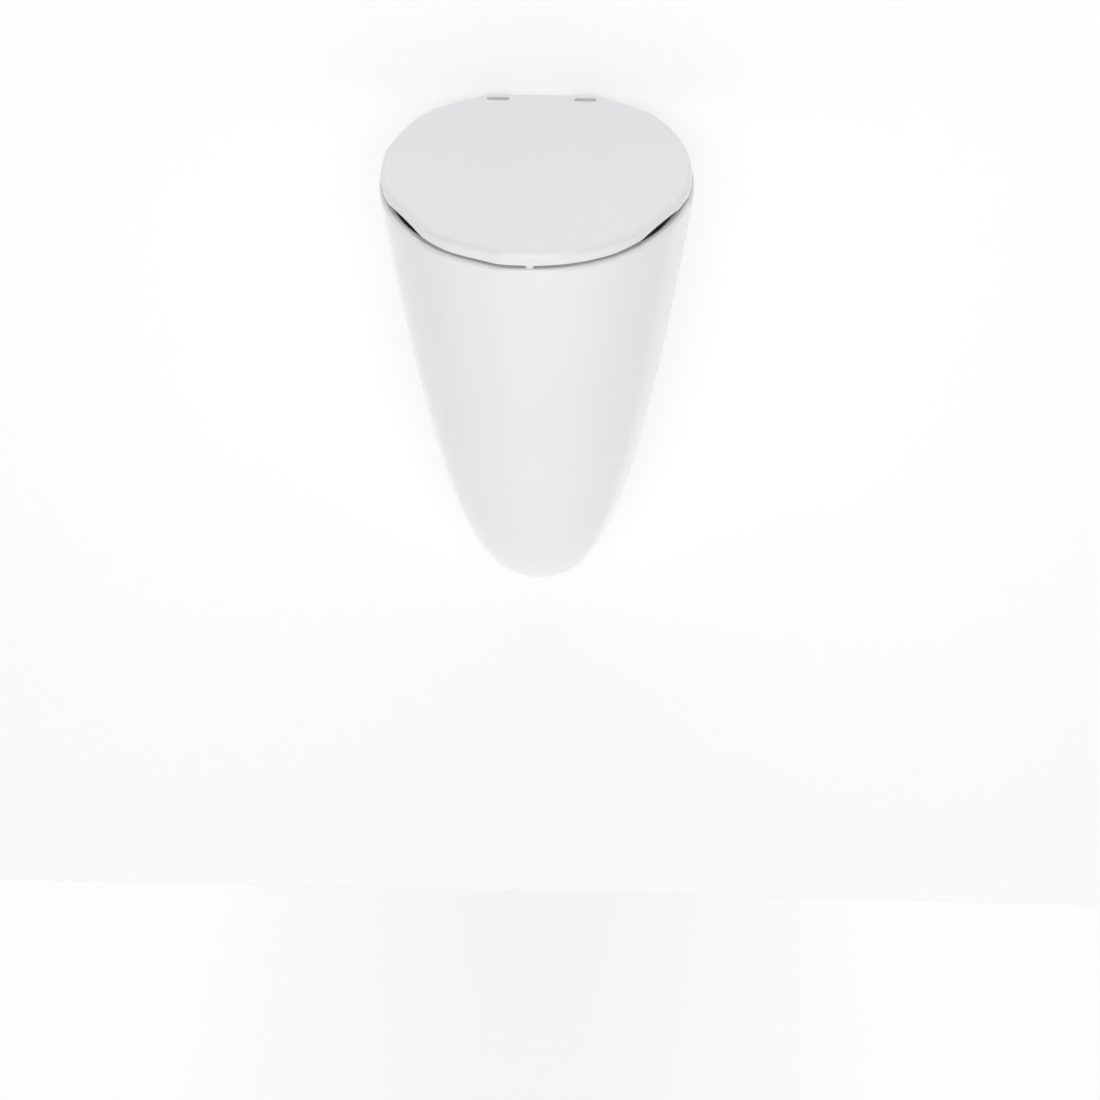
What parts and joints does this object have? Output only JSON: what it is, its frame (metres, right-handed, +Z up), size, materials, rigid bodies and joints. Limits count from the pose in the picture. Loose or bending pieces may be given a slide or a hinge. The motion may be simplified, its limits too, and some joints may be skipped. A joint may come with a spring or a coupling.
{
  "type": "wall hung urinal",
  "caption": "Wall-hung urinal: horn-shaped glazed ceramic bowl tapering to a rounded tip, closed by an oval soft-close lid, with concealed inlet, trap and wall studs.",
  "frame": {"origin": "on the finished wall face, midway between the two wall studs", "axes": "+X to the right as a person facing the wall sees it, +Y into the wall, +Z up"},
  "size_m": [0.2989, 0.4024, 0.5396],
  "materials": {
    "glazed_ceramic": "gloss",
    "lid_plastic": "gloss",
    "buffer_rubber": "satin",
    "damper_steel": "satin",
    "hinge_steel": "satin",
    "bolt_steel": "satin",
    "strainer_steel": "polished",
    "pipe_chrome": "polished",
    "nut_brass": "satin",
    "seal_rubber": "matte",
    "fixing_plastic": "matte",
    "cap_plastic": "gloss",
    "waste_plastic": "satin",
    "trap_plastic": "satin",
    "outlet_plastic": "satin"
  },
  "bodies": {
    "base": {"ceramic_body": "glazed_ceramic", "hinge_post_left": "hinge_steel", "hinge_post_right": "hinge_steel", "hinge_gaskets": "seal_rubber", "hinge_bolts": "bolt_steel", "hinge_washers": "fixing_plastic", "hinge_nuts": "fixing_plastic", "wall_studs": "bolt_steel", "stud_sleeves": "fixing_plastic", "stud_washers": "fixing_plastic", "stud_nuts": "bolt_steel", "stud_caps": "cap_plastic", "inlet_pipe": "pipe_chrome", "inlet_seal": "seal_rubber", "spreader_body": "pipe_chrome", "spreader_gasket": "seal_rubber", "spreader_nut": "nut_brass", "waste_body": "waste_plastic", "waste_gasket": "seal_rubber", "waste_washer": "seal_rubber", "waste_nut": "waste_plastic", "trap_housing": "trap_plastic", "trap_seal": "seal_rubber", "trap_union_nut": "trap_plastic", "outlet_pipe": "outlet_plastic", "outlet_seal": "seal_rubber", "outlet_nut": "trap_plastic"},
    "lid": {"lid": "lid_plastic", "front_buffer": "buffer_rubber", "rear_buffers": "buffer_rubber", "hinge_damper_left": "damper_steel", "hinge_damper_right": "damper_steel"},
    "dip_tube": {"trap_dip_tube": "trap_plastic"},
    "strainer": {"strainer": "strainer_steel"}
  },
  "joints": [
    {"name": "lid_hinge", "type": "hinge", "parent": "base", "child": "lid", "pos_m": [0, -0.02064, 0.13808], "axis": [-1, 0, 0], "range_deg": [0, 99]},
    {"name": "dip_tube_lift", "type": "slide", "parent": "base", "child": "dip_tube", "axis": [0, 0, 1], "range_m": [0, 0.15]},
    {"name": "strainer_lift", "type": "slide", "parent": "dip_tube", "child": "strainer", "axis": [0, 0, 1], "range_m": [0, 0.04]}
  ]
}
